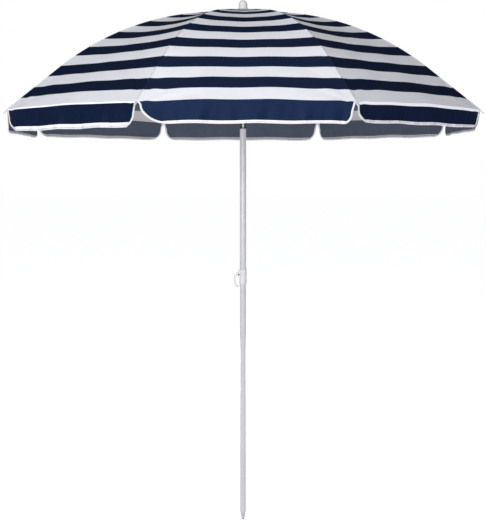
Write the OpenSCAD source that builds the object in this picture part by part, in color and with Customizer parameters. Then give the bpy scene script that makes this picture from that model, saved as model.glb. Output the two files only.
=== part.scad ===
// Beach umbrella: an eight-panel canopy with a valance on a folding rib frame, a push-button
// tilt joint, and a two-piece telescopic pole with a cam-lever clamp. Units are millimetres.
// Z is up. The origin is the point of the ground tip, on the axis of the pole.

/* [Canopy] */
// radius of the canopy at its corners, along a rib
canopy_r = 903; // [700:1:1200]
// height of the valance, from the canopy edge to its hem
valance_h = 68; // [30:1:150]
// thickness of the cloth bodies
cloth_t = 1.0; // [0.6:0.1:3]
// gap left between neighbouring gores
gore_gap = 0.4; // [0.2:0.1:1]

/* [Rib] */
// diameter of a rib rod
rib_d = 3.2; // [2:0.1:6]
// height of the rib pivots above the ground tip
crown_z = 1958; // [1500:1:2400]
// radius of the circle of rib pivots in the crown
crown_pivot_r = 20; // [15:0.5:30]
// length of the straight inner part of a rib
rib_line = 177; // [50:1:400]
// radius that the loaded rib bends to
rib_bend = 1043; // [500:1:3000]
// slope of a rib at the crown, degrees below level
slope_in = 7.27; // [0:0.01:30]
// slope of a rib at its tip, degrees below level
slope_out = 38.66; // [20:0.01:60]
// distance along the rib from its pivot to the stretcher clip
clip_s = 400; // [200:1:700]
// how far the rib tip cap stands out past the canopy corner
tip_out = 20; // [5:1:60]

/* [Runner] */
// height of the stretcher pivots with the canopy open
runner_z = 1600; // [1300:1:1900]
// radius of the circle of stretcher pivots in the runner
runner_pivot_r = 28; // [20:0.5:40]
// diameter of a stretcher rod
stay_d = 3.0; // [2:0.1:6]

/* [Pole] */
// outside diameter of the upper tube and of the mast tube
upper_d = 24; // [18:0.5:40]
// outside diameter of the lower tube
lower_d = 22; // [16:0.5:38]
// wall of the tubes
tube_wall = 0.8; // [0.5:0.1:2]
// top end of the lower tube, inside the upper one
lower_top = 1070; // [900:1:1400]
// top end of the upper tube
upper_top = 1513; // [1200:1:1800]
// height of the shoulder of the ground tip
tip_h = 33.6; // [15:0.1:120]

/* [Clamp] */
// bottom of the clamp collar
collar_z = 920; // [800:1:1300]
// height of the clamp collar
collar_h = 57; // [30:1:120]
// outside diameter of the clamp collar
collar_d = 27.6; // [25:0.1:50]
// distance of the lever pin from the pole axis
pin_x = 16.5; // [14:0.1:30]
// height of the lever pin
pin_z = 956; // [900:1:1300]
// width of the cam lever
lever_w = 8.6; // [5:0.1:20]

/* [Tilt joint] */
// height of the tilt pivot
tilt_z = 1525; // [1300:1:1800]
// width over the two cheeks
cheek_w = 21; // [14:0.1:23]
// thickness of the tongue between the cheeks
tongue_w = 8; // [4:0.1:12]

/* [Hidden] */
$fn = 48;
panel = 45;
half = panel / 2;
crown_a = [for (k = [0:7]) -67.5 + panel * k];
// rib path, as (radius, height) at a distance s from the pivot, and its slope there
arc_len = rib_bend * (slope_out - slope_in) * PI / 180;
p1 = [crown_pivot_r + rib_line * cos(slope_in), crown_z - rib_line * sin(slope_in)];
p2 = p1 + rib_bend * [sin(slope_out) - sin(slope_in), cos(slope_out) - cos(slope_in)];
rib_end = rib_line + arc_len + (canopy_r - p2[0]) / cos(slope_out);
function slope(s) = s < rib_line ? slope_in
  : s > rib_line + arc_len ? slope_out
  : slope_in + (s - rib_line) / rib_bend * 180 / PI;
function rib_p(s) =
  s < rib_line
    ? [crown_pivot_r + s * cos(slope_in), crown_z - s * sin(slope_in)]
  : s > rib_line + arc_len
    ? p2 + (s - rib_line - arc_len) * [cos(slope_out), -sin(slope_out)]
  : p1 + rib_bend * [sin(slope(s)) - sin(slope_in), cos(slope(s)) - cos(slope_in)];
// the same path moved up by d, square to the rib
function rib_off(s, d) = rib_p(s) + d * [sin(slope(s)), cos(slope(s))];
cloth_under = 2.3;
clip_p = rib_off(clip_s, -6);
runner_p = [runner_pivot_r, runner_z];
stay_len = norm(clip_p - runner_p);
stay_up = atan2(clip_p[1] - runner_z, clip_p[0] - runner_pivot_r);
// rows of the cloth, as distances along the rib
rows = concat([5, 60, 118], [for (i = [0:20]) rib_line + arc_len * i / 20],
  [rib_line + arc_len + 120], [rib_end]);
ur = upper_d / 2;
lr = lower_d / 2;

module pipe(r_out, r_in, z0, z1) {
  difference() {
    translate([0, 0, z0]) cylinder(r = r_out, h = z1 - z0);
    translate([0, 0, z0 - 1]) cylinder(r = r_in, h = z1 - z0 + 2);
  }
}

// a round bar along X, centred
module xbar(r, l) { rotate([0, 90, 0]) cylinder(r = r, h = l, center = true); }

// a round bar along Y, centred
module ybar(r, l) { rotate([90, 0, 0]) cylinder(r = r, h = l, center = true); }

// moves to a point of a rib plane, with local X along a direction that slopes down by a
module on_rib(p, a) { translate([p[0], 0, p[1]]) rotate([0, a, 0]) children(); }

// the place of rib number k
module place(k) { rotate([0, 0, crown_a[k - 1]]) children(); }

// pole ------------------------------------------------------------------------------------

module ground_tip() {
  color([0.62, 0.63, 0.66])
  rotate_extrude()
  polygon([[0, 0], [3.4, 0], [4.8, 1.0], [5.4, 3.5], [8, 18.6], [10.2, 29.5], [10.9, 31.5],
    [10.9, tip_h], [lr - tube_wall, tip_h], [lr - tube_wall, 68], [0, 68]]);
}

module lower_tube() {
  color([0.93, 0.93, 0.94])
  difference() {
    pipe(lr, lr - tube_wall, tip_h, lower_top);
    // rolled line that marks the lowest place for the collar
    translate([0, 0, 897])
    difference() {
      cylinder(r = lr + 1, h = 2);
      translate([0, 0, -1]) cylinder(r = lr - 0.3, h = 4);
    }
    // spring-pin hole near the top end, inside the upper tube
    translate([0, 0, lower_top - 22]) rotate([0, 90, 0]) cylinder(r = 2.4, h = 30);
  }
}

module upper_tube() {
  color([0.93, 0.93, 0.94])
  difference() {
    pipe(ur, ur - tube_wall, collar_z + 5, upper_top);
    // window for the cam
    translate([-20, -4.7, 942]) cube([20, 9.4, 26]);
    // chamfered top edge
    translate([0, 0, upper_top - 0.5]) difference() {
      cylinder(r = ur + 1, h = 1);
      translate([0, 0, -0.01]) cylinder(r1 = ur, r2 = ur - 1, h = 1.02);
    }
  }
}

// clamp -----------------------------------------------------------------------------------

module ear() {
  rotate([90, 0, 0])
  linear_extrude(height = 3)
  polygon([[-9, 977], [-11.5, 976.6], [-26.2, 959.6], [-27.2, 957.6], [-26.8, 955.9],
    [-13.5, 941.8], [-9, 940.5]]);
}

module clamp_collar() {
  color([0.95, 0.95, 0.95])
  difference() {
    union() {
      rotate_extrude()
      polygon([[10, collar_z], [collar_d / 2 - 0.8, collar_z], [collar_d / 2, collar_z + 0.8],
        [collar_d / 2, collar_z + collar_h - 0.8], [collar_d / 2 - 0.8, collar_z + collar_h],
        [10, collar_z + collar_h]]);
      translate([0, -4.7, 0]) ear();
      translate([0, 7.7, 0]) ear();
    }
    translate([0, 0, collar_z - 1]) cylinder(r = lr + 0.3, h = 20);
    translate([0, 0, collar_z + 5]) cylinder(r = ur, h = 80);
    translate([-30, -4.7, 942]) cube([30, 9.4, 26]);
    translate([-pin_x, 0, pin_z]) ybar(2.5, 40);
  }
}

module lever_pin() {
  color([0.25, 0.26, 0.28])
  translate([-pin_x, 0, pin_z])
  union() {
    ybar(2.5, 16.2);
    translate([0, -8.3, 0]) ybar(3.1, 1.2);
    translate([0, 8.3, 0]) ybar(3.1, 1.2);
  }
}

lever_path = [[-pin_x, pin_z, 4.6], [-27.6, 953.2, 4.6], [-31.1, 945, 4.4], [-31.2, 930, 4.3],
  [-28.6, 918.4, 4.1], [-22, 911.8, 3.7], [-16.9, 910, 3.5]];

// the lever's outline, smooth through those points (x, z, half thickness)
function through(a, b, c, d, t) = 0.5 * (2 * b + (c - a) * t
  + (2 * a - 5 * b + 4 * c - d) * t * t + (3 * b - a - 3 * c + d) * t * t * t);
lever_n = len(lever_path) - 1;
lever_pts = concat([for (i = [0:lever_n - 1]) for (j = [0:3])
  through(lever_path[max(i - 1, 0)], lever_path[i], lever_path[i + 1],
    lever_path[min(i + 2, lever_n)], j / 4)], [lever_path[lever_n]]);
lever_m = len(lever_pts) - 1;
function lever_dir(i) =
  let (v = lever_pts[min(i + 1, lever_m)] - lever_pts[max(i - 1, 0)])
  [v[0], v[1]] / norm([v[0], v[1]]);
function lever_side(i, k) =
  let (d = lever_dir(i), p = lever_pts[i])
  [p[0] - k * p[2] * d[1], p[1] + k * p[2] * d[0]];

// a round end, from angle a down through half a turn
function lever_end(i, a) =
  let (p = lever_pts[i])
  [for (j = [1:11]) [p[0] + p[2] * cos(a - 15 * j), p[1] + p[2] * sin(a - 15 * j)]];
function lever_angle(i) = let (d = lever_dir(i)) atan2(d[1], d[0]);

module cam_lever() {
  color([0.95, 0.95, 0.95])
  difference() {
    rotate([90, 0, 0])
    linear_extrude(height = lever_w, center = true)
    polygon(concat([for (i = [0:lever_m]) lever_side(i, 1)],
      lever_end(lever_m, lever_angle(lever_m) + 90),
      [for (i = [lever_m:-1:0]) lever_side(i, -1)],
      lever_end(0, lever_angle(0) - 90)));
    translate([-pin_x, 0, pin_z]) ybar(2.6, 20);
  }
}

// tilt joint ------------------------------------------------------------------------------

button_r = 7.7;

module tilt_clevis() {
  color([0.09, 0.09, 0.1])
  difference() {
    intersection() {
      union() {
        translate([0, 0, 1470]) cylinder(r = ur - tube_wall, h = 44.5);
        for (s = [-1, 1])
          translate([s * (tongue_w / 2 + cheek_w / 2 + 0.3) / 2, 0, 0]) {
            translate([0, 0, tilt_z]) xbar(10.5, cheek_w / 2 - tongue_w / 2 - 0.3);
            translate([-(cheek_w / 2 - tongue_w / 2 - 0.3) / 2, -10.5, 1510])
            cube([cheek_w / 2 - tongue_w / 2 - 0.3, 21, tilt_z - 1510]);
          }
      }
      translate([0, 0, 1460]) cylinder(r = ur - tube_wall, h = 90);
    }
    translate([0, 0, tilt_z]) xbar(3, 30);
    translate([0, 0, tilt_z - button_r]) {
      rotate([0, 90, 0]) cylinder(r = 1.6, h = 20);
      translate([7.3, 0, 0]) rotate([0, 90, 0]) cylinder(r = 3, h = 10);
    }
  }
}

module tilt_rivet() {
  color([0.55, 0.56, 0.58])
  translate([0, 0, tilt_z])
  union() {
    xbar(3, cheek_w + 1);
    for (s = [-1, 1]) translate([s * (cheek_w / 2 + 0.45), 0, 0]) xbar(4.0, 0.9);
  }
}

module tilt_button() {
  color([0.2, 0.2, 0.21])
  translate([0, 0, tilt_z - button_r])
  union() {
    translate([3.2, 0, 0]) rotate([0, 90, 0]) cylinder(r = 1.5, h = 7);
    translate([9.4, 0, 0]) rotate([0, 90, 0]) cylinder(r = 2.8, h = 2.3);
  }
}

module tilt_tongue() {
  color([0.94, 0.94, 0.95])
  difference() {
    union() {
      translate([0, 0, tilt_z]) xbar(10.2, tongue_w);
      translate([-tongue_w / 2, -9, tilt_z]) cube([tongue_w, 18, 20]);
      translate([0, 0, 1541]) cylinder(r = ur, h = 5);
      translate([0, 0, 1545]) cylinder(r = ur - tube_wall, h = 36);
    }
    translate([0, 0, tilt_z]) xbar(3.1, 30);
    // groove that the nose of the button runs in
    translate([1, 0, tilt_z]) rotate([0, 90, 0]) rotate([0, 0, -40])
    rotate_extrude(angle = 40) translate([button_r - 1.8, 0]) square([3.6, 10]);
    for (a = [0, -40])
      rotate([0, 0, 0]) translate([1, 0, tilt_z]) rotate([a, 0, 0])
      translate([0, 0, -button_r]) rotate([0, 90, 0]) cylinder(r = 1.8, h = 10);
  }
}

module mast_tube() {
  color([0.93, 0.93, 0.94])
  pipe(ur, ur - tube_wall, 1546, 1940);
}

// crown -----------------------------------------------------------------------------------

// ring of round wire that the eyes of the ribs or stretchers hang on
module wire_ring(r, d) {
  rotate_extrude() translate([r, 0]) circle(d = d, $fn = 24);
}

module crown_hub() {
  color([0.95, 0.95, 0.95])
  difference() {
    union() {
      translate([0, 0, 1947]) cylinder(r = 26, h = 12);
      translate([0, 0, 1940]) cylinder(r = 15, h = 8);
      translate([0, 0, 1905]) cylinder(r = ur - tube_wall, h = 36);
    }
    for (k = [1:8]) place(k) translate([16.8, -2.1, 1935]) cube([20, 4.2, 40]);
    translate([0, 0, crown_z]) wire_ring(crown_pivot_r, 1.5);
    translate([0, 0, 1938]) cylinder(r = 4.1, h = 30);
  }
}

module crown_wire() {
  color([0.6, 0.61, 0.63])
  translate([0, 0, crown_z]) wire_ring(crown_pivot_r, 1.4);
}

module canopy_cap() {
  color([0.93, 0.93, 0.94])
  rotate_extrude()
  polygon([[4.2, 1961.4], [24, 1961.4], [36, 1959.7], [36, 1960.6], [24, 1962.3],
    [4.2, 1962.3]]);
}

module finial() {
  color([0.84, 0.84, 0.85])
  union() {
    rotate_extrude()
    polygon(concat([[0, 1962.3], [19.6, 1962.3], [19.6, 1963.3], [17.3, 1966.4],
      [16.6, 1969.5], [16.5, 1978]],
      [for (a = [12:8:84]) [16.5 * cos(a), 1978 + 19 * sin(a)]], [[0, 1997]]));
    translate([0, 0, 1944]) cylinder(r = 4, h = 20);
  }
}

// runner ----------------------------------------------------------------------------------

module runner() {
  color([0.95, 0.95, 0.95])
  difference() {
    union() {
      translate([0, 0, runner_z - 36]) cylinder(r = 16, h = 48);
      translate([0, 0, runner_z - 5]) cylinder(r = 33, h = 10);
      translate([0, 0, runner_z - 36]) cylinder(r = 18.5, h = 4);
    }
    translate([0, 0, runner_z - 50]) cylinder(r = ur + 0.8, h = 80);
    for (k = [1:8]) place(k) translate([24.6, -2.1, runner_z - 20]) cube([20, 4.2, 40]);
    translate([0, 0, runner_z]) wire_ring(runner_pivot_r, 1.5);
  }
}

module runner_wire() {
  color([0.6, 0.61, 0.63])
  translate([0, 0, runner_z]) wire_ring(runner_pivot_r, 1.4);
}

// ribs, with their caps and clips -----------------------------------------------------------

module rib(k) {
  color([0.86, 0.87, 0.88])
  place(k)
  difference() {
    union() {
      on_rib(rib_p(0), slope_in) {
        ybar(2.6, 3.4);
        translate([1, 0, 0]) rotate([0, 90, 0]) cylinder(d = rib_d, h = rib_line - 1);
      }
      translate([p1[0] - rib_bend * sin(slope_in), 0, p1[1] - rib_bend * cos(slope_in)])
      rotate([90, 0, 0])
      rotate([0, 0, 90 - slope_out])
      rotate_extrude(angle = slope_out - slope_in, $fn = 240)
      translate([rib_bend, 0]) circle(d = rib_d, $fn = 24);
      on_rib(p2, slope_out)
      rotate([0, 90, 0]) cylinder(d = rib_d, h = rib_end + 4 - rib_line - arc_len);
      // short ferrules where the straight lengths meet the bent one
      on_rib(p1, slope_in) translate([-2, 0, 0]) rotate([0, 90, 0]) cylinder(r = 1.8, h = 4);
      on_rib(p2, slope_out) translate([-2, 0, 0]) rotate([0, 90, 0]) cylinder(r = 1.8, h = 4);
    }
    on_rib(rib_p(0), slope_in) ybar(0.8, 10);
  }
}

module rib_tip(k) {
  color([0.95, 0.95, 0.95])
  place(k)
  on_rib(rib_p(rib_end), slope_out)
  difference() {
    union() {
      translate([-16, 0, 0]) rotate([0, 90, 0]) cylinder(r = 2.15, h = 18);
      translate([1.5, 0, 0]) rotate([0, 90, 0]) cylinder(r = 2.8, h = tip_out - 4.3);
      translate([tip_out - 2.8, 0, 0]) sphere(r = 2.8);
    }
    translate([-20, 0, 0]) rotate([0, 90, 0]) cylinder(d = rib_d, h = 24);
  }
}

module rib_clip(k) {
  color([0.6, 0.61, 0.63])
  place(k)
  on_rib(rib_p(clip_s), slope(clip_s))
  difference() {
    union() {
      rotate([0, 90, 0]) cylinder(r = 2.05, h = 14, center = true);
      for (s = [-1, 1]) {
        translate([-6, s * 2.9 - 0.6, -6]) cube([12, 1.2, 5.2]);
        translate([0, s * 2.9, -6]) ybar(3, 1.2);
      }
      translate([-6, -3.5, -1.9]) cube([12, 7, 1.2]);
      translate([0, 0, -6]) ybar(1.4, 7.8);
    }
    rotate([0, 90, 0]) cylinder(d = rib_d + 0.1, h = 30, center = true);
  }
}

module stretcher(k) {
  color([0.86, 0.87, 0.88])
  place(k)
  on_rib(runner_p, -stay_up)
  difference() {
    union() {
      ybar(2.5, 3.4);
      translate([stay_len, 0, 0]) ybar(2.5, 3.4);
      translate([1, 0, 0]) rotate([0, 90, 0]) cylinder(d = stay_d, h = stay_len - 2);
    }
    ybar(0.8, 10);
    translate([stay_len, 0, 0]) ybar(1.5, 10);
  }
}

// cloth -----------------------------------------------------------------------------------

// a gore of cloth, centred on its rib, reaches to the middle of the panel on each side
function gore_row(s, d, g) =
  let (p = rib_off(s, d), c = p[0] * cos(half))
  [[c * cos(half) + g * sin(half), -c * sin(half) + g * cos(half), p[1]], [p[0], 0, p[1]],
    [c * cos(half) + g * sin(half), c * sin(half) - g * cos(half), p[1]]];

// the valance hangs from the straight line between two rib tips: distances from the rib tip
// along that line, and how far the flap hangs there, round its corner and along its hem
flap_t = [0, 230, 120, 27, 16, 9, 5, 3.4];
flap_h = [1, 1, 1, 1, 0.9, 0.7, 0.38, 0.16];

module gore(k) {
  n = len(rows) - 1;
  nc = len(flap_t);
  out = cloth_under + cloth_t;
  edge = rib_off(rib_end, out);
  side = edge[0] * sin(half) - gore_gap / 2;
  drop = cloth_t * (1 - sin(slope_out)) / cos(slope_out);
  // a point of the flap: t along the line between the tips, d inwards, h down, on side y
  function flap(t, d, h, y) =
    [edge[0] - t * sin(half) - d * cos(half), y * (t * cos(half) - d * sin(half)), edge[1] - h];
  function t(i) = i == 0 ? side : flap_t[i];
  function sheet(in) = concat(
    [for (i = [0:n - 1]) each gore_row(rows[i], out - in, gore_gap / 2)],
    [for (i = [0:nc - 1]) flap(t(i), in, in > 0 ? drop : 0, 1)],
    [[edge[0] - in / cos(half), 0, edge[1] - (in > 0 ? drop : 0)]],
    [for (i = [0:nc - 1]) flap(t(i), in, in > 0 ? drop : 0, -1)],
    [for (i = [0:nc - 1]) flap(t(i), in, valance_h * flap_h[i], 1)],
    [for (i = [0:nc - 1]) flap(t(i), in, valance_h * flap_h[i], -1)]);
  er = 3 * n;
  tip = er + nc;
  el = tip + 1;
  br = el + nc;
  bl = br + nc;
  m = bl + nc;
  a = er - 3;
  quads = concat(
    [for (i = [0:n - 2]) for (j = [0, 1])
      [3 * i + j, 3 * i + j + 1, 3 * i + j + 4, 3 * i + j + 3]],
    [for (i = [0:nc - 2]) [er + i + 1, er + i, br + i, br + i + 1]],
    [for (i = [0:nc - 2]) [el + i, el + i + 1, bl + i + 1, bl + i]]);
  tris = concat(
    [for (q = quads) each [[q[0], q[1], q[2]], [q[0], q[2], q[3]]]],
    [[a, a + 1, tip], [a, tip, el + nc - 1], [a + 2, er + nc - 1, tip], [a + 2, tip, a + 1]],
    [for (i = [0:nc - 2]) [a, el + i + 1, el + i]],
    [for (i = [0:nc - 2]) [a + 2, er + i, er + i + 1]]);
  rim = concat([0, 1], [for (i = [0:n - 1]) 3 * i + 2], [er],
    [for (i = [0:nc - 1]) br + i], [er + nc - 1, tip, el + nc - 1],
    [for (i = [nc - 1:-1:0]) bl + i], [el], [for (i = [n - 1:-1:1]) 3 * i]);
  loop = concat(rim, [rim[0]]);
  edges = [for (i = [0:len(rim) - 1]) [loop[i], loop[i + 1]]];
  color([0.9, 0.9, 0.93])
  place(k)
  polyhedron(
    points = concat(sheet(0), sheet(cloth_t)),
    faces = concat(tris, [for (q = tris) [q[0] + m, q[2] + m, q[1] + m]],
      [for (e = edges) each [[e[1], e[0], e[0] + m], [e[1], e[0] + m, e[1] + m]]]));
}

ground_tip();
lower_tube();
upper_tube();
clamp_collar();
lever_pin();
cam_lever();
tilt_clevis();
tilt_rivet();
tilt_button();
tilt_tongue();
mast_tube();
crown_hub();
crown_wire();
canopy_cap();
finial();
runner();
runner_wire();
rib(1);  // rib_1
rib(2);  // rib_2
rib(3);  // rib_3
rib(4);  // rib_4
rib(5);  // rib_5
rib(6);  // rib_6
rib(7);  // rib_7
rib(8);  // rib_8
rib_tip(1);  // rib_tip_1
rib_tip(2);  // rib_tip_2
rib_tip(3);  // rib_tip_3
rib_tip(4);  // rib_tip_4
rib_tip(5);  // rib_tip_5
rib_tip(6);  // rib_tip_6
rib_tip(7);  // rib_tip_7
rib_tip(8);  // rib_tip_8
rib_clip(1);  // rib_clip_1
rib_clip(2);  // rib_clip_2
rib_clip(3);  // rib_clip_3
rib_clip(4);  // rib_clip_4
rib_clip(5);  // rib_clip_5
rib_clip(6);  // rib_clip_6
rib_clip(7);  // rib_clip_7
rib_clip(8);  // rib_clip_8
stretcher(1);  // stretcher_1
stretcher(2);  // stretcher_2
stretcher(3);  // stretcher_3
stretcher(4);  // stretcher_4
stretcher(5);  // stretcher_5
stretcher(6);  // stretcher_6
stretcher(7);  // stretcher_7
stretcher(8);  // stretcher_8
gore(1);  // canopy_gore_1
gore(2);  // canopy_gore_2
gore(3);  // canopy_gore_3
gore(4);  // canopy_gore_4
gore(5);  // canopy_gore_5
gore(6);  // canopy_gore_6
gore(7);  // canopy_gore_7
gore(8);  // canopy_gore_8
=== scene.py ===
import math

import bmesh
import bpy
import numpy as np
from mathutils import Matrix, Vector


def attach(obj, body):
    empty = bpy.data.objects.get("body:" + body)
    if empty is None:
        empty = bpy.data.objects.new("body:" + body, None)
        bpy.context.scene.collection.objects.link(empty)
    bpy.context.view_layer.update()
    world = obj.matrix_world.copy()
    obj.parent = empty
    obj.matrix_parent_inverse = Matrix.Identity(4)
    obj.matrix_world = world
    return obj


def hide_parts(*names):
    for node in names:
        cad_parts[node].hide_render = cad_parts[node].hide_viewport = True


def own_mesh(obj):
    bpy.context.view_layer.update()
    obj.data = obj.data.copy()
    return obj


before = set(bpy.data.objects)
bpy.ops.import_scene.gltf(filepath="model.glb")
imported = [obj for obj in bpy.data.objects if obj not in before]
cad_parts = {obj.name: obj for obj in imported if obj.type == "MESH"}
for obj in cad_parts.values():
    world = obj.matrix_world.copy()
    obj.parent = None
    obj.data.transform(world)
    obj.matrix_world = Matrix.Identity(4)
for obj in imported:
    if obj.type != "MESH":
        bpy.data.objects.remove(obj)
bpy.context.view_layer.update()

# ---------------------------------------------------------------- sizes, in metres
CROWN_Z = 1.958  # height of the ribs' pivots
PIVOT_R = 0.020  # and their distance from the axis
LINE = 0.177  # a rib is straight up to here, then bends at this radius, and is straight again
BEND = 1.043
S_IN = math.radians(7.27)  # its slope below the horizontal, before and after the bend
S_OUT = math.radians(38.66)
CORNER_R = 0.903  # the canopy's corners
HALF = math.radians(22.5)  # half a panel, seen from above
CLOTH_TOP = 0.0033  # the cloth's upper side over the rib's axis
CLOTH_THICK = 0.0005
THREAD_PITCH = 0.00045  # of the weave
ARC = BEND * (S_OUT - S_IN)
P1 = (PIVOT_R + LINE * math.cos(S_IN), CROWN_Z - LINE * math.sin(S_IN))
P2 = (
    P1[0] + BEND * (math.sin(S_OUT) - math.sin(S_IN)),
    P1[1] + BEND * (math.cos(S_OUT) - math.cos(S_IN)),
)
RIB_END = LINE + ARC + (CORNER_R - P2[0]) / math.cos(S_OUT)
STRIPE = 0.0635
BIND_W = 0.0060  # the tape's width on each side of the hem
AZIMUTH = [math.radians(-67.5 + 45 * k) for k in range(8)]


def rib_point(s, d=CLOTH_TOP):
    """(radius, height, slope) at a distance s along the rib, moved up by d square to it."""
    s = np.asarray(s, float)
    a = np.clip(S_IN + (s - LINE) / BEND, S_IN, S_OUT)
    r1, z1 = PIVOT_R + s * math.cos(S_IN), CROWN_Z - s * math.sin(S_IN)
    r2 = P1[0] + BEND * (np.sin(a) - math.sin(S_IN))
    z2 = P1[1] + BEND * (np.cos(a) - math.cos(S_IN))
    e = s - LINE - ARC
    r3, z3 = P2[0] + e * math.cos(S_OUT), P2[1] - e * math.sin(S_OUT)
    r = np.where(s < LINE, r1, np.where(e > 0, r3, r2))
    z = np.where(s < LINE, z1, np.where(e > 0, z3, z2))
    return r + d * np.sin(a), z + d * np.cos(a), a


EDGE_R, EDGE_Z, _ = (float(x) for x in rib_point(RIB_END))
SIDE = EDGE_R * math.sin(HALF)

# ---------------------------------------------------------------- materials


def material(name):
    m = bpy.data.materials.new(name)
    m.use_nodes = True
    nt = m.node_tree
    nt.nodes.clear()
    out = nt.nodes.new("ShaderNodeOutputMaterial")
    b = nt.nodes.new("ShaderNodeBsdfPrincipled")
    nt.links.new(b.outputs[0], out.inputs[0])
    return m, nt, b


def node(nt, kind, **values):
    n = nt.nodes.new(kind)
    for key, v in values.items():
        if key in n.inputs:
            n.inputs[key].default_value = v
        else:
            setattr(n, key, v)
    return n


def mix_colour(nt, fac, a, b):
    """A colour that runs from a to b as fac goes from 0 to 1."""
    m = nt.nodes.new("ShaderNodeMix")
    m.data_type = "RGBA"
    nt.links.new(fac, m.inputs["Factor"])
    for sock, v in ((6, a), (7, b)):
        m.inputs[sock].default_value = (*v, 1)
    return m.outputs[2]


def spread(nt, value, lo, hi, out_lo, out_hi):
    """The value's range lo to hi, mapped to out_lo to out_hi."""
    r = node(nt, "ShaderNodeMapRange")
    nt.links.new(value, r.inputs["Value"])
    for key, v in (("From Min", lo), ("From Max", hi), ("To Min", out_lo), ("To Max", out_hi)):
        r.inputs[key].default_value = v
    return r.outputs["Result"]


def noise(nt, coord, scale, detail=3.0, rough=0.5, stretch=None):
    src = coord
    if stretch:
        mp = node(nt, "ShaderNodeMapping")
        mp.inputs["Scale"].default_value = stretch
        nt.links.new(coord, mp.inputs["Vector"])
        src = mp.outputs[0]
    n = node(nt, "ShaderNodeTexNoise", Scale=scale, Detail=detail, Roughness=rough)
    nt.links.new(src, n.inputs["Vector"])
    return n.outputs["Fac"]


def bump(nt, height, distance, strength=1.0, normal=None):
    b = node(nt, "ShaderNodeBump", Strength=strength, Distance=distance)
    nt.links.new(height, b.inputs["Height"])
    if normal is not None:
        nt.links.new(normal, b.inputs["Normal"])
    return b.outputs[0]


def cloth_material(name, colour, dark, rough=0.6, weave=0.00009, glint=(1, 1, 1), spec=0.25):
    """Plain-woven polyester, with slubs and slight unevenness. UV is in metres on the cloth."""
    m, nt, b = material(name)
    uv = node(nt, "ShaderNodeUVMap", uv_map="cloth").outputs[0]
    sep = node(nt, "ShaderNodeSeparateXYZ")
    nt.links.new(uv, sep.inputs[0])
    rows = []
    for axis in (0, 1):
        mul = node(nt, "ShaderNodeMath", operation="MULTIPLY")
        nt.links.new(sep.outputs[axis], mul.inputs[0])
        mul.inputs[1].default_value = math.pi / THREAD_PITCH
        s = node(nt, "ShaderNodeMath", operation="SINE")
        nt.links.new(mul.outputs[0], s.inputs[0])
        rows.append(s.outputs[0])
    over = node(nt, "ShaderNodeMath", operation="MULTIPLY")
    nt.links.new(rows[0], over.inputs[0])
    nt.links.new(rows[1], over.inputs[1])
    slub = noise(nt, uv, 900, 2, 0.6, (1, 0.06, 1))
    slub2 = noise(nt, uv, 900, 2, 0.6, (0.06, 1, 1))
    patch = noise(nt, uv, 9, 4, 0.6)
    both = node(nt, "ShaderNodeMath", operation="ADD")
    nt.links.new(slub, both.inputs[0])
    nt.links.new(slub2, both.inputs[1])
    shade = node(nt, "ShaderNodeMath", operation="MULTIPLY_ADD")
    nt.links.new(patch, shade.inputs[0])
    shade.inputs[1].default_value = 0.9
    nt.links.new(both.outputs[0], shade.inputs[2])
    fac = spread(nt, shade.outputs[0], 0.9, 2.0, 0, 1)
    nt.links.new(mix_colour(nt, fac, dark, colour), b.inputs["Base Color"])
    nt.links.new(spread(nt, patch, 0.3, 0.7, rough - 0.05, rough + 0.05), b.inputs["Roughness"])
    fine = bump(nt, over.outputs[0], weave, 0.8)
    soft = bump(nt, both.outputs[0], 0.00012, 0.7, fine)
    nt.links.new(bump(nt, patch, 0.004, 0.25, soft), b.inputs["Normal"])
    b.inputs["Specular IOR Level"].default_value = spec
    b.inputs["Specular Tint"].default_value = (*glint, 1)
    return m


def plain_material(name, colour, dark, rough, metallic=0.0, coat=0.0, grain=0.00002, scale=700, spec=0.5):
    """Painted, plated or moulded: fine grain, soft unevenness of colour and gloss, and a little dirt."""
    m, nt, b = material(name)
    co = node(nt, "ShaderNodeTexCoord").outputs["Object"]
    fine = noise(nt, co, scale, 3, 0.6)
    broad = noise(nt, co, 22, 4, 0.6)
    fac = spread(nt, broad, 0.3, 0.75, 0, 1)
    nt.links.new(mix_colour(nt, fac, colour, dark), b.inputs["Base Color"])
    nt.links.new(spread(nt, broad, 0.25, 0.75, rough - 0.05, rough + 0.05), b.inputs["Roughness"])
    nt.links.new(bump(nt, broad, 0.0001, 0.2, bump(nt, fine, grain, 0.3)), b.inputs["Normal"])
    b.inputs["Metallic"].default_value = metallic
    b.inputs["Coat Weight"].default_value = coat
    b.inputs["Coat Roughness"].default_value = 0.12
    b.inputs["Specular IOR Level"].default_value = spec
    return m


WHITE = cloth_material("cloth_white", (0.80, 0.81, 0.86), (0.72, 0.73, 0.79))
NAVY = cloth_material("cloth_navy", (0.0045, 0.0095, 0.031), (0.0033, 0.0070, 0.024), 0.55,
                      glint=(0.22, 0.42, 1.0), spec=0.5)
# the white's reverse is the white cloth darkened to about half: painted shade of the canopy's underside and
# the flaps' inner side
WHITE_REVERSE_PAINTED_SHADE = cloth_material("cloth_white_reverse_painted_shade", (0.42, 0.405, 0.415), (0.37, 0.355, 0.365))
NAVY_BACK = cloth_material("cloth_navy_reverse", (0.075, 0.090, 0.125), (0.055, 0.068, 0.10))
BINDING = cloth_material("binding_tape", (0.62, 0.63, 0.67), (0.56, 0.57, 0.61), weave=0.00015)
THREAD = plain_material("sewing_thread", (0.78, 0.78, 0.82), (0.66, 0.66, 0.72), 0.7,
                        grain=0.00005, scale=2500, spec=0.2)
THREAD_DARK = plain_material("sewing_thread_navy", (0.03, 0.04, 0.10), (0.02, 0.03, 0.07), 0.7,
                             grain=0.00005, scale=2500, spec=0.2)

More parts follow.
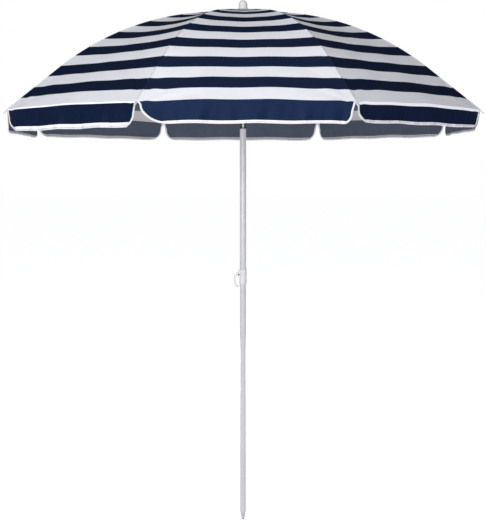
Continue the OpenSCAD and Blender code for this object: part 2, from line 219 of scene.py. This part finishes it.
PAINT = plain_material("tube_white_paint", (0.51, 0.51, 0.535), (0.46, 0.46, 0.485), 0.30,
                       coat=0.25, grain=0.000006, scale=500)
MOULDED = plain_material("white_moulding", (0.58, 0.58, 0.595), (0.52, 0.52, 0.535), 0.42,
                          grain=0.00002, scale=900)
GREY = plain_material("grey_moulding", (0.42, 0.43, 0.46), (0.34, 0.35, 0.38), 0.5, grain=0.00004, scale=900)
PALE = plain_material("finial_moulding", (0.72, 0.72, 0.74), (0.65, 0.65, 0.67), 0.38,
                      grain=0.00003, scale=900)
BLACK = plain_material("black_moulding", (0.018, 0.018, 0.021), (0.03, 0.03, 0.033), 0.45,
                       grain=0.00004, scale=900)
RIBPAINT = plain_material("rib_paint", (0.70, 0.71, 0.73), (0.60, 0.61, 0.64), 0.35, coat=0.2)
PLATED = plain_material("plated_steel", (0.50, 0.51, 0.53), (0.36, 0.37, 0.39), 0.32,
                        metallic=1.0, scale=1200)
DARKPIN = plain_material("dark_plated_pin", (0.10, 0.11, 0.13), (0.06, 0.065, 0.08), 0.35, metallic=1.0)

# ---------------------------------------------------------------- looks of the CAD nodes

looks = {
    "ground_tip": GREY, "lower_tube": PAINT, "upper_tube": PAINT, "clamp_collar": MOULDED,
    "lever_pin": DARKPIN, "cam_lever": MOULDED, "tilt_clevis": BLACK, "tilt_rivet": PLATED,
    "tilt_button": BLACK, "tilt_tongue": MOULDED, "mast_tube": PAINT, "crown_hub": MOULDED,
    "crown_wire": PLATED, "finial": PALE, "runner": MOULDED, "runner_wire": PLATED,
}
for k in range(1, 9):
    looks.update({f"rib_{k}": RIBPAINT, f"rib_tip_{k}": MOULDED,
                  f"rib_clip_{k}": PLATED, f"stretcher_{k}": RIBPAINT})
for name, mat in looks.items():
    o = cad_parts[name]
    o.data.materials.clear()
    o.data.materials.append(mat)


# ---------------------------------------------------------------- mesh helpers


def make(name, verts, faces, mats, face_mats=None, uvs=None):
    me = bpy.data.meshes.new(name)
    me.from_pydata([tuple(v) for v in verts], [], [tuple(f) for f in faces])
    for m in mats:
        me.materials.append(m)
    if face_mats is not None:
        me.polygons.foreach_set("material_index", np.asarray(face_mats, np.int32))
    if uvs is not None:
        layer = me.uv_layers.new(name="cloth")
        loops = np.empty(len(me.loops), np.int32)
        me.loops.foreach_get("vertex_index", loops)
        layer.data.foreach_set("uv", np.asarray(uvs, np.float32)[loops].ravel())
    me.polygons.foreach_set("use_smooth", np.ones(len(me.polygons), bool))
    me.update()
    me.validate()
    o = bpy.data.objects.new(name, me)
    bpy.context.scene.collection.objects.link(o)
    return o


def thicken(o, thickness, **settings):
    """Gives cloth its thickness, inwards from the side that is modelled."""
    sol = o.modifiers.new("thickness", "SOLIDIFY")
    sol.thickness = thickness
    sol.offset = -1
    for key, v in settings.items():
        setattr(sol, key, v)


def apply_modifiers(o):
    bpy.context.view_layer.update()
    dg = bpy.context.evaluated_depsgraph_get()
    me = bpy.data.meshes.new_from_object(o.evaluated_get(dg))
    o.modifiers.clear()
    old, o.data = o.data, me
    bpy.data.meshes.remove(old)
    # the cut edge is square, so the face beside it is not shaded round
    me.set_sharp_from_angle(angle=math.radians(50))


# ---------------------------------------------------------------- the shape of the cloth


def panel_noise(seed):
    """A few fixed sine terms, so that each panel wrinkles in its own way."""
    rng = np.random.default_rng(seed)
    return rng.uniform(0, 2 * math.pi, 24), rng.uniform(0.7, 1.3, 24)


PANEL = [panel_noise(100 + p) for p in range(8)]
# the sag in the middle of a panel, at distances along the rib
SAG_S = [0.0, 0.15, 0.30, 0.443, 0.517, 0.592, 0.660, 0.720, 0.783, 0.847, 0.911, 1.0]
SAG_Z = [0.0, -0.004, -0.010, -0.013, -0.0105, -0.0085, -0.0065, -0.003, 0.0, 0.004, 0.0075, 0.0075]


def sag(s):
    return np.interp(s, SAG_S, SAG_Z)


def cloth_offset(p, w, s):
    """How far panel p's cloth stands up from the straight line between its ribs, at w from -1 to 1."""
    ph, am = PANEL[p]
    mid = 1 - w * w
    wide = np.clip(s / RIB_END, 0, 1)
    z = sag(s) * mid
    # shallow folds that run from the crown to the hem, and pulls that fan out of the two tips
    z = z + 0.0010 * wide * mid * np.sin(9 * w + ph[0] + 1.5 * s) * am[0]
    for side, i in ((-1, 2), (1, 5)):
        dx = (1 - side * w) * SIDE * wide
        dy = RIB_END - s
        ang = np.arctan2(dx, dy + 0.02)
        far = np.hypot(dx, dy)
        fade = np.exp(-((far / 0.22) ** 2)) * np.clip(far / 0.03, 0, 1)
        edge = np.clip(dx / 0.02, 0, 1)
        z = z + 0.0011 * fade * edge * np.sin(11 * ang + ph[i]) * am[i]
    # puckers beside the seams
    from_seam = (1 - np.abs(w)) * SIDE * wide
    near = np.exp(-(from_seam / 0.018) ** 2) * np.clip(from_seam / 0.004, 0, 1)
    z = z + 0.00035 * near * np.sin(2 * math.pi * s / 0.021 + 3 * np.sin(7 * s + ph[8]) + ph[9])
    return z


def cloth_xyz(k, u, s, lift=0.0):
    """A point of gore k's cloth in its own rib's frame: u from -1 to 1 across the gore, s along the rib."""
    u, s = np.broadcast_arrays(np.asarray(u, float), np.asarray(s, float))
    r, z, a = rib_point(s, CLOTH_TOP + lift)
    au = np.abs(u)
    x = r * (1 - au * math.sin(HALF) ** 2)
    y = r * u * math.cos(HALF) * math.sin(HALF)
    w = np.where(u >= 0, -1 + u, 1 + u)
    off = np.where(u >= 0, cloth_offset(k, w, s), cloth_offset((k - 1) % 8, w, s))
    off = np.where(au < 1e-9, 0.0, off)
    return np.stack([x, y, z + off], -1)


def turned(a, pts):
    c, s = math.cos(a), math.sin(a)
    x, y, z = pts[..., 0], pts[..., 1], pts[..., 2]
    return np.stack([c * x - s * y, s * x + c * y, z], -1)


def place(k, pts):
    """From rib k's frame, x outwards, to the scene's."""
    return turned(AZIMUTH[k], pts)


def panel_place(p, pts):
    """From the frame of panel p, which lies between ribs p and p + 1, to the scene's."""
    return turned(AZIMUTH[p] + HALF, pts)


def across_rib(y, r):
    """The gore's u at a distance y beside the seam, where the rib is at radius r."""
    return y / (r * math.cos(HALF) * math.sin(HALF))


# ---------------------------------------------------------------- gores

ROW_STEP = 0.0085
LAST_ROWS = 8
# rows of points along the rib, with one on every edge between two stripes
edges = [RIB_END - STRIPE * i for i in range(1, 16)]
rows = [0.0045]
for e in sorted(edges):
    if e > rows[-1] + 0.004:
        n = max(1, round((e - rows[-1]) / ROW_STEP))
        rows += list(rows[-1] + (e - rows[-1]) * np.arange(1, n + 1) / n)
rows += list(rows[-1] + (RIB_END - rows[-1]) * np.arange(1, LAST_ROWS + 1) / LAST_ROWS)
rows = np.array(rows)
cols = np.linspace(-1, 1, 65)
# more columns beside the seam
cols = np.sign(cols) * np.abs(cols) ** 1.15


def stripe_navy(s_mid):
    """True where the cloth is navy. The first stripe above the eave is white."""
    return (np.floor((RIB_END - s_mid) / STRIPE).astype(int) % 2) == 1


gores = []
for k in range(8):
    S, U = np.meshgrid(rows, cols, indexing="ij")
    pts = place(k, cloth_xyz(k, U, S))
    nr, nc = len(rows), len(cols)
    idx = np.arange(nr * nc).reshape(nr, nc)
    quads = np.stack([idx[:-1, :-1], idx[1:, :-1], idx[1:, 1:], idx[:-1, 1:]], -1).reshape(-1, 4)
    mid = np.repeat((rows[:-1] + rows[1:]) / 2, nc - 1)
    r_at = rib_point(S)[0]
    uvs = np.stack([(U * r_at * math.sin(HALF)).ravel(), S.ravel()], -1)
    o = make(f"gore_{k + 1}", pts.reshape(-1, 3), quads, [WHITE, NAVY, WHITE_REVERSE_PAINTED_SHADE, NAVY_BACK],
             stripe_navy(mid).astype(int), uvs)
    # the underside takes the reverse materials; the white reverse carries painted shade
    thicken(o, CLOTH_THICK, material_offset=2)
    gores.append(o)


# ---------------------------------------------------------------- valance flaps

# how far a flap's end stays away from the rib, at the eave and at the hem
GAP_TOP = 0.0022
GAP_LOW = 0.0110
# each panel's depth of flap and its white hem, and how the flap's two lower corners are rounded off
# (width, height) at (panel, end): they are not all alike
DEPTH = [0.065, 0.075, 0.078, 0.079, 0.078, 0.084, 0.080, 0.0705]
HEM = [0.0085, 0.009, 0.0125, 0.013, 0.0125, 0.010, 0.015, 0.009]
# on two panels the last white stripe runs on a little below the eave
WHITE_TOP = {0: 0.009, 6: 0.005}
CORNERS = {
    (7, -1): (0.098, 0.060), (7, 1): (0.030, 0.036), (6, 1): (0.045, 0.042), (6, -1): (0.060, 0.050),
    (0, -1): (0.055, 0.050), (0, 1): (0.022, 0.022), (3, -1): (0.045, 0.048), (3, 1): (0.045, 0.048),
    (4, -1): (0.062, 0.050), (4, 1): (0.040, 0.040), (2, -1): (0.050, 0.046), (2, 1): (0.040, 0.045),
}
FLAP_SIDE = SIDE - GAP_LOW


def corner(p, end):
    return CORNERS.get((p, end), (0.050, 0.045))


def flap_depth(p, end, t):
    """How far panel p's flap hangs at a distance t from its middle, towards one end."""
    cw, ch = corner(p, end)
    h = DEPTH[p]
    t = np.asarray(t, float)
    x = np.clip((t - (FLAP_SIDE - cw)) / cw, 0, 1)
    curve = h - ch + ch * np.sqrt(1 - x * x)
    slant = np.clip((SIDE - GAP_TOP - t) / (GAP_LOW - GAP_TOP), 0, 1) * (h - ch)
    return np.where(t < FLAP_SIDE - cw, h, np.where(t < FLAP_SIDE, curve, slant))


def flap_xyz(p, t, q, off=0.0):
    """A point of panel p's flap in the panel's own frame, x outwards: t from the middle towards the
    higher-numbered rib, q down, off outwards."""
    ph, am = PANEL[p]
    t, q = np.broadcast_arrays(np.asarray(t, float), np.asarray(q, float))
    w = t / SIDE
    d = np.clip(q / DEPTH[p], 0, 1.1)
    top = EDGE_Z + cloth_offset(p, np.clip(w, -1, 1), RIB_END) * (1 - d * 0.75)
    ends = np.clip((1 - np.abs(w)) / 0.10, 0, 1)
    wave = (
        0.0034 * am[10] * np.sin(2 * math.pi * t / (0.175 * am[11]) + ph[10])
        + 0.0021 * am[12] * np.sin(2 * math.pi * t / (0.087 * am[13]) + ph[12])
        + 0.0012 * np.sin(2 * math.pi * t / 0.047 + ph[13] + 2.2 * d)
    ) * (0.35 + 0.65 * ends)
    # the tape draws the hem in, so the cloth above it puckers
    near_hem = np.clip((d - 0.62) / 0.3, 0, 1)
    wave = wave + 0.0007 * near_hem * np.sin(2 * math.pi * t / 0.0185 + ph[16] + 2 * np.sin(23 * t + ph[17]))
    lean = 0.004 * np.sin(ph[14]) - 0.006
    curl = 0.0035 * (1 - ends) * np.sin(ph[15])
    x = EDGE_R * math.cos(HALF) + wave * d**1.3 + lean * d + curl * d * d + off
    z = top - q * (1 - 0.01 * d) + 0.0012 * d * np.sin(2 * math.pi * t / 0.21 + ph[18])
    return np.stack([x, t, z], -1)


def clean(o, weld=2e-5):
    """With weld, joins points that meet and drops faces without area; without, turns all faces outwards."""
    bm = bmesh.new()
    bm.from_mesh(o.data)
    if weld:
        bmesh.ops.remove_doubles(bm, verts=bm.verts, dist=weld)
        bmesh.ops.dissolve_degenerate(bm, edges=bm.edges, dist=1e-6)
    else:
        bmesh.ops.recalc_face_normals(bm, faces=bm.faces)
    bm.to_mesh(o.data)
    bm.free()
    o.data.update()


def flap_columns(p, end):
    cw, _ = corner(p, end)
    straight = np.linspace(0, FLAP_SIDE - cw, max(8, round((FLAP_SIDE - cw) / 0.0042)))
    bend = FLAP_SIDE - cw + cw * np.sin(np.linspace(0, math.pi / 2, 17))[1:]
    slant = np.linspace(FLAP_SIDE, SIDE - GAP_TOP - 0.0004, 7)[1:]
    return straight, bend, slant


def stitches(name, runs, mat):
    """Sewing thread: one raised stitch for each (start, end, outward direction). Each has four rings of
    four points, at a share f of its length, with half width w and height h over its sunk edges."""
    a, b, n = (np.array([r[i] for r in runs], float) for i in range(3))
    d = (b - a) / np.linalg.norm(b - a, axis=1)[:, None]
    side = np.cross(d, n)
    side /= np.linalg.norm(side, axis=1)[:, None]
    n = np.cross(side, d)
    rings = []
    for f, w, h, low in ((0.0, 0.00012, 0.00005, -0.0002), (0.18, 0.00024, 0.00030, -0.0001),
                         (0.82, 0.00024, 0.00030, -0.0001), (1.0, 0.00012, 0.00005, -0.0002)):
        c = a + (b - a) * f
        rings.append(np.stack([c - side * w + n * low, c - side * w * 0.7 + n * h,
                               c + side * w * 0.7 + n * h, c + side * w + n * low], 1))
    verts = np.stack(rings, 1).reshape(-1, 3)
    one = [(4 * i + j, 4 * i + (j + 1) % 4, 4 * i + 4 + (j + 1) % 4, 4 * i + 4 + j)
           for i in range(3) for j in range(4)]
    one += [(3, 2, 1, 0), (12, 13, 14, 15)]
    one = np.array(one)
    faces = (one[None] + 16 * np.arange(len(a))[:, None, None]).reshape(-1, 4)
    o = make(name, verts, faces, [mat])
    clean(o, 0)
    return o


PITCH, LENGTH = 0.0042, 0.0032  # of the stitches
flaps, bindings, sewing = [], [], []
# the tape's section: distance in from the edge, and outwards from the cloth
section = [(BIND_W, 0.0007), (0.003, 0.0009), (0.0004, 0.0007), (-0.0004, -0.0002), (0.0004, -0.0012),
           (0.003, -0.0014), (BIND_W, -0.0012)]
for k in range(8):
    verts, faces, mats_i, uvs = [], [], [], []
    tv, tf, tuv = [], [], []
    sewn = []
    for side, p in ((1, k), (-1, (k - 1) % 8)):
        # on the +side of rib k lies panel k, where that rib is at its lower end
        end = -side
        straight, bend, slant = flap_columns(p, end)
        ts = np.concatenate([straight, bend, slant])
        navy = DEPTH[p] - HEM[p]
        white = WHITE_TOP.get(p, 0.0)
        top_rows = [0.0, white / 2] if white else []
        qs = np.concatenate([top_rows, np.linspace(white, navy, 12), np.linspace(navy, DEPTH[p], 4)[1:]])
        T, Q = np.meshgrid(ts, qs, indexing="ij")
        Qc = np.minimum(Q, flap_depth(p, end, T))
        base = len(verts)
        verts += panel_place(p, flap_xyz(p, end * T, Qc)).reshape(-1, 3).tolist()
        uvs += np.stack([(side * (SIDE - T)).ravel(), (RIB_END + Qc).ravel()], -1).tolist()
        idx = base + np.arange(T.size).reshape(T.shape)
        q4 = np.stack([idx[:-1, :-1], idx[1:, :-1], idx[1:, 1:], idx[:-1, 1:]], -1)
        if side == -1:
            q4 = q4[..., ::-1]
        faces += q4.reshape(-1, 4).tolist()
        mid_q = (qs[:-1] + qs[1:]) / 2
        is_navy = ((mid_q > white) & (mid_q < navy)).astype(int)
        mats_i += np.broadcast_to(is_navy, (len(ts) - 1, len(qs) - 1)).ravel().tolist()

        # the tape, folded over the edge all the way round
        path = [(t, DEPTH[p]) for t in straight]
        path += [(t, float(flap_depth(p, end, t))) for t in np.concatenate([bend[:-1], [FLAP_SIDE]])]
        h_side = DEPTH[p] - corner(p, end)[1]
        path += [(FLAP_SIDE + (GAP_LOW - GAP_TOP) * i / 12, h_side * (1 - i / 12)) for i in range(1, 13)]
        path = np.array(path)
        tan = np.gradient(path, axis=0)
        tan /= np.linalg.norm(tan, axis=1)[:, None]
        base, m = len(tv), len(section)
        for (t, q), (a1, a2) in zip(path, tan):
            for e, off in section:
                # towards the flap is a quarter turn from the way the edge runs
                tt, qq = t + e * a2, max(q - e * a1, -0.0008)
                tv.append(panel_place(p, flap_xyz(p, end * tt, qq, off)).tolist())
                tuv.append((2 * e, float(t + q)))
        for i in range(len(path) - 1):
            for j in range(m):
                a0, b0 = base + i * m + j, base + i * m + (j + 1) % m
                tf.append((a0, b0, b0 + m, a0 + m))
        tf.append([base + j for j in range(m)])
        tf.append([base + (len(path) - 1) * m + j for j in range(m)])

        # and sewn down along its upper edge
        line = path + 0.0046 * np.stack([tan[:, 1], -tan[:, 0]], -1)
        along = np.concatenate([[0], np.cumsum(np.linalg.norm(np.diff(line, axis=0), axis=1))])
        starts = np.arange(0.0005, along[-1] - LENGTH - 0.003, PITCH)
        stitch_ends = [np.stack([np.interp(starts + e, along, line[:, i]) for i in (0, 1)], -1)
                       for e in (0, LENGTH)]
        pa, pb = (panel_place(p, flap_xyz(p, end * x[:, 0], np.maximum(x[:, 1], 0), 0.00085))
                  for x in stitch_ends)
        out = panel_place(p, np.tile([1.0, 0.0, 0.0], (len(pa), 1)))
        sewn += list(zip(pa, pb, out))
    o = make(f"valance_{k + 1}", verts, faces, [WHITE, NAVY, WHITE_REVERSE_PAINTED_SHADE, NAVY_BACK], mats_i, uvs)
    clean(o)
    # the inner side takes the reverse materials; the white reverse carries painted shade
    thicken(o, CLOTH_THICK, material_offset=2)
    flaps.append(o)
    o = make(f"valance_binding_{k + 1}", tv, tf, [BINDING], None, tuv)
    clean(o, 0)
    bindings.append(o)
    sewing.append([stitches(f"hem_stitching_{k + 1}", sewn, THREAD)])

# ---------------------------------------------------------------- seams over the ribs

seams = []
for k in range(8):
    s_vals = rows[rows > 0.03]
    half_w = 0.0036
    prof = [(-half_w, -0.0002), (-half_w * 0.92, 0.0007), (0.0, 0.0010),
            (half_w * 0.92, 0.0007), (half_w, -0.0002), (0.0, -0.0004)]
    verts, faces, uvs, mi = [], [], [], []
    for s in s_vals:
        r = float(rib_point(s)[0])
        for y, dz in prof:
            v = cloth_xyz(k, across_rib(y, r), s)
            v[2] += dz
            verts.append(tuple(place(k, v)))
            uvs.append((y, s))
    m = len(prof)
    for i in range(len(s_vals) - 1):
        navy = int(stripe_navy((s_vals[i] + s_vals[i + 1]) / 2))
        for j in range(m):
            a, b = i * m + j, i * m + (j + 1) % m
            faces.append((a, a + m, b + m, b))
            mi.append(navy)
    faces.append(list(range(m)))
    faces.append([(len(s_vals) - 1) * m + j for j in range(m)][::-1])
    mi += [0, 0]
    o = make(f"seam_{k + 1}", verts, faces, [WHITE, NAVY], mi, uvs)
    clean(o, 0)
    seams.append(o)
    sewn = []
    starts = np.arange(0.042, RIB_END - 0.004, PITCH)
    for y in (-0.0022, 0.0022):
        stitch_ends = []
        for e in (0, LENGTH):
            r = rib_point(starts + e)[0]
            v = cloth_xyz(k, across_rib(y, r), starts + e)
            v[:, 2] += 0.0009
            stitch_ends.append(place(k, v))
        slope = rib_point(starts)[2]
        up = place(k, np.stack([np.sin(slope), 0 * slope, np.cos(slope)], -1))
        sewn += list(zip(*stitch_ends, up))
    sewing[k].append(stitches(f"seam_stitching_{k + 1}", sewn, THREAD_DARK))

# ---------------------------------------------------------------- crown patch, under the finial

PATCH_R = 0.0352
PATCH_Z = 1.9622
AROUND = 72
rings = [(0.0045, 0.0), (0.012, 0.0), (0.0195, 0.0), (0.024, -0.0001),
         (0.030, -0.00085), (0.0345, -0.0016), (PATCH_R, -0.0021)]
verts, faces, uvs = [], [], []
for r, dz in rings:
    for i in range(AROUND):
        a = 2 * math.pi * i / AROUND
        rib = math.cos(8 * (a - AZIMUTH[0]))
        verts.append((r * math.cos(a), r * math.sin(a), PATCH_Z + dz + 0.0003 * rib * (r > 0.02)))
        uvs.append((r * math.cos(a), r * math.sin(a)))
for i in range(len(rings) - 1):
    for j in range(AROUND):
        a, b = i * AROUND + j, i * AROUND + (j + 1) % AROUND
        faces.append((a, a + AROUND, b + AROUND, b))
patch = make("crown_patch", verts, faces, [WHITE], None, uvs)
thicken(patch, 0.0006)

# ---------------------------------------------------------------- ride and replace

for o in gores + flaps + [patch]:
    apply_modifiers(o)

for k in range(8):
    body = f"rib_arm_{k + 1}"
    a = AZIMUTH[k]
    for o in (gores[k], flaps[k], bindings[k], seams[k], *sewing[k]):
        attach(o, body)
        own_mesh(o)
    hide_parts(f"canopy_gore_{k + 1}")
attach(patch, "mast")
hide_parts("canopy_cap")


# ---------------------------------------------------------------- floor, light and camera

floor_mat, nt, b = material("studio_floor")
b.inputs["Base Color"].default_value = (0.9, 0.9, 0.9, 1)
b.inputs["Roughness"].default_value = 0.9
b.inputs["Emission Color"].default_value = (1, 1, 1, 1)
b.inputs["Emission Strength"].default_value = 0.85
b.inputs["Specular IOR Level"].default_value = 0.0
FLOOR = 80
verts = [(-FLOOR, -FLOOR, 0), (FLOOR, -FLOOR, 0), (FLOOR, FLOOR, 0), (-FLOOR, FLOOR, 0)]
floor = make("studio_floor", verts, [(0, 1, 2, 3)], [floor_mat])
floor.location.z = -0.0005
floor.visible_glossy = False

world = bpy.data.worlds.new("studio")
bpy.context.scene.world = world
world.use_nodes = True
nt = world.node_tree
nt.nodes.clear()
out = nt.nodes.new("ShaderNodeOutputWorld")
path = nt.nodes.new("ShaderNodeLightPath")


def background(strength, colour=(1, 1, 1)):
    return node(nt, "ShaderNodeBackground", Strength=strength, Color=(*colour, 1)).outputs[0]


def ray_mix(ray, otherwise, chosen):
    """The chosen background for that kind of ray, and the other one for the rest."""
    m = nt.nodes.new("ShaderNodeMixShader")
    for sock, value in enumerate((path.outputs[ray], otherwise, chosen)):
        nt.links.new(value, m.inputs[sock])
    return m.outputs[0]


# soft and dim for the light, darker in glossy reflections, and white behind the object
lighting = ray_mix("Is Glossy Ray", background(0.16, (0.96, 0.98, 1.0)), background(0.03))
nt.links.new(ray_mix("Is Camera Ray", lighting, background(1.0)), out.inputs[0])


def area_light(name, loc, target, size, power):
    lamp = bpy.data.lights.new(name, "AREA")
    lamp.shape = "RECTANGLE"
    lamp.size, lamp.size_y = size
    lamp.energy = power
    o = bpy.data.objects.new(name, lamp)
    bpy.context.scene.collection.objects.link(o)
    o.location = loc
    o.rotation_euler = (Vector(target) - Vector(loc)).to_track_quat("-Z", "Y").to_euler()
    return o


area_light("key", (-1.2, -5.0, 1.9), (0, 0, 1.6), (2.4, 2.0), 165)
area_light("top", (-0.4, -2.2, 4.8), (0, 0, 1.8), (2.6, 2.6), 50)
area_light("back", (1.2, 5.0, 2.4), (0, 0, 1.6), (2.4, 2.0), 230).visible_glossy = False

cam = bpy.data.cameras.new("camera")
cam.sensor_width = 36
cam.lens = 86.706
cam_o = bpy.data.objects.new("camera", cam)
bpy.context.scene.collection.objects.link(cam_o)
YAW = math.radians(0.737)
DIST = 4.7932
EYE_Z = 1.3385
DOWN = 3.9022  # degrees below the horizontal
cam_o.location = (-DIST * math.sin(YAW), -DIST * math.cos(YAW), EYE_Z)
cam_o.rotation_euler = (math.radians(90 - DOWN), 0, -YAW)
bpy.context.scene.camera = cam_o
bpy.context.scene.view_settings.view_transform = "Standard"
